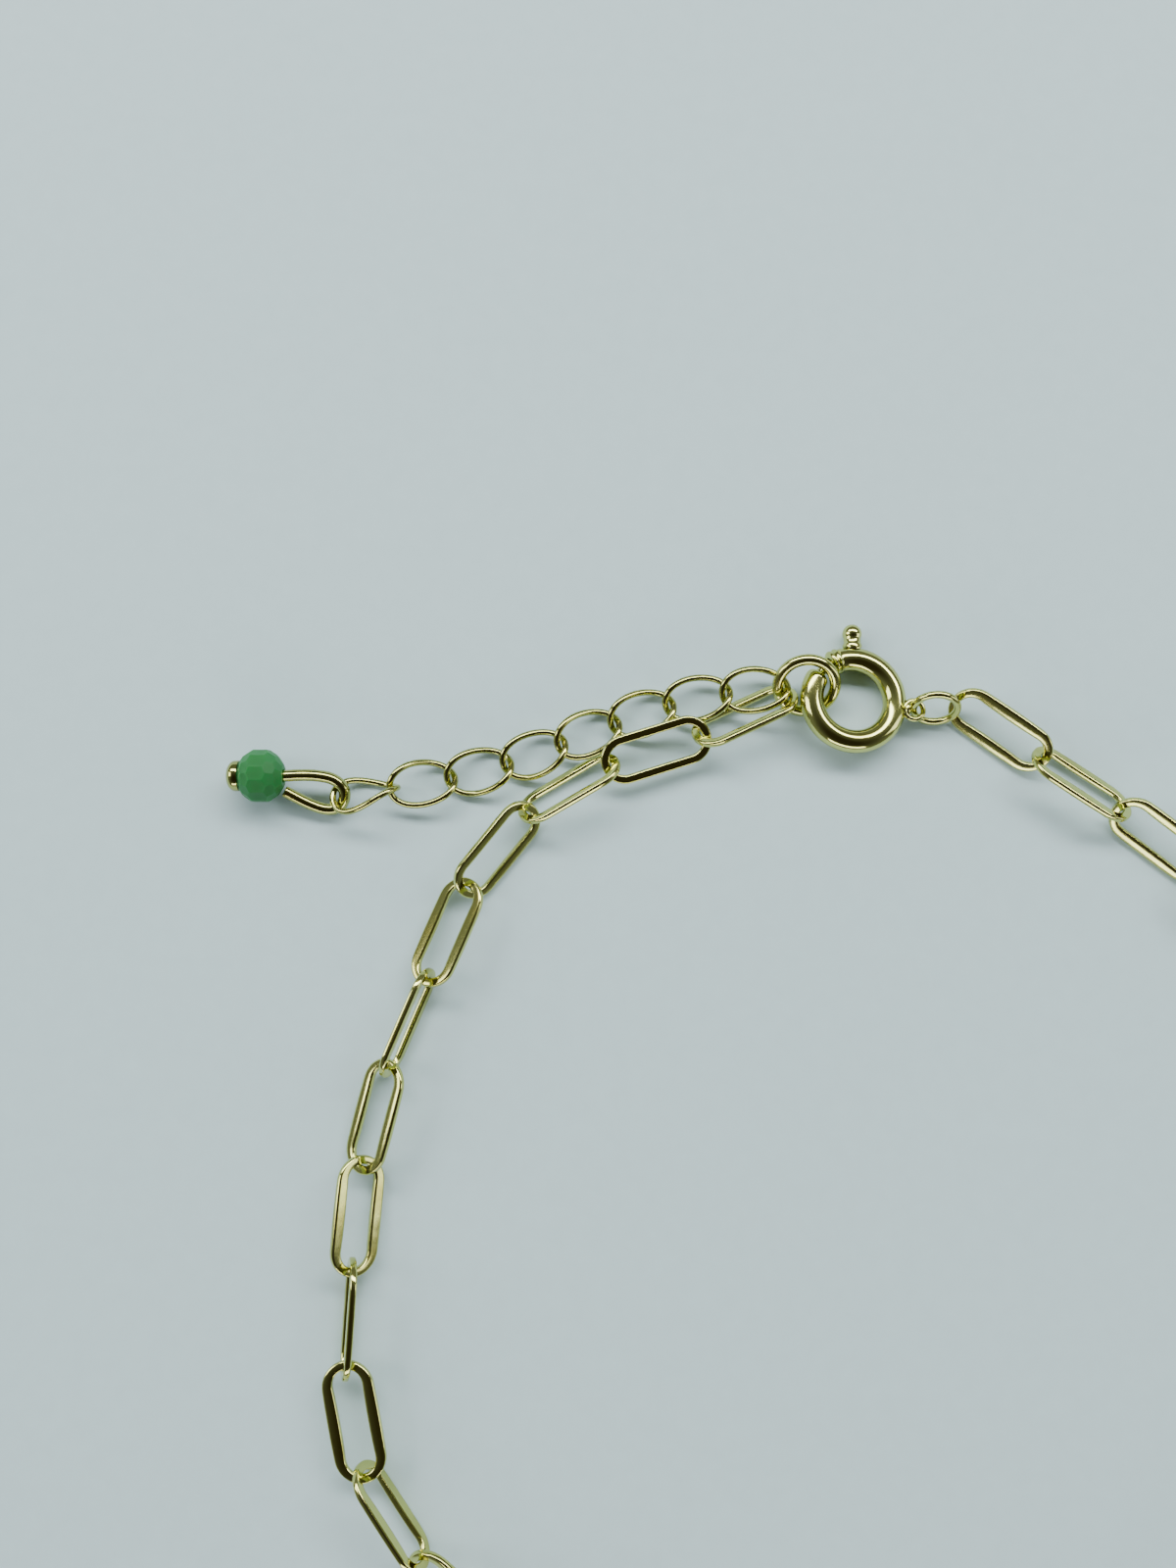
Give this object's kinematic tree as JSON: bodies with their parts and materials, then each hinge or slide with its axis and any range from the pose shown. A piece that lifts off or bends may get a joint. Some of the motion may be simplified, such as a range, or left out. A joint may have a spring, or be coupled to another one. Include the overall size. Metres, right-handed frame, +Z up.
{
  "type": "chain bracelet with spring ring clasp, extender and green bead",
  "caption": "Fastened gold paperclip chain bracelet with a spring ring clasp, a curb extender chain and a faceted green bead on its end, lying flat.",
  "frame": {"origin": "middle of the bounding box, on the level surface that the bracelet lies on", "axes": "+Z up from the surface, +X towards the clasp's eye side of the view, +Y from the loop towards the clasp's knob"},
  "size_m": [0.0618, 0.0612, 0.0028],
  "materials": {
    "gold": "polished pale champagne gold",
    "green_stone": "polished translucent green stone, faceted"
  },
  "bodies": {
    "bracelet": {"chain_link_01": "gold", "chain_link_02": "gold", "chain_link_03": "gold", "chain_link_04": "gold", "chain_link_05": "gold", "chain_link_06": "gold", "chain_link_07": "gold", "chain_link_08": "gold", "chain_link_09": "gold", "chain_link_10": "gold", "chain_link_11": "gold", "chain_link_12": "gold", "chain_link_13": "gold", "chain_link_14": "gold", "chain_link_15": "gold", "chain_link_16": "gold", "chain_link_17": "gold", "chain_link_18": "gold", "chain_link_19": "gold", "chain_link_20": "gold", "chain_link_21": "gold", "chain_link_22": "gold", "chain_link_23": "gold", "chain_link_24": "gold", "chain_link_25": "gold", "chain_link_26": "gold", "chain_link_27": "gold", "chain_link_28": "gold", "chain_link_29": "gold", "chain_link_30": "gold", "chain_link_31": "gold", "extender_link_1": "gold", "extender_link_2": "gold", "extender_link_3": "gold", "extender_link_4": "gold", "extender_link_5": "gold", "extender_link_6": "gold", "extender_link_7": "gold", "extender_link_8": "gold", "end_ring": "gold", "clasp_jump_ring": "gold", "clasp_ring": "gold", "eye_pin": "gold", "emerald_bead": "green_stone"},
    "gate": {"clasp_gate": "gold"}
  },
  "joints": [
    {"name": "gate_turn", "type": "hinge", "parent": "bracelet", "child": "gate", "pos_m": [0.00354, 0.02627, 0.00104], "axis": [-0.1238, -0.1039, -0.9869], "range_deg": [0, 32], "stiffness_Nm_per_rad": 0.003, "springref_deg": -17.19}
  ]
}
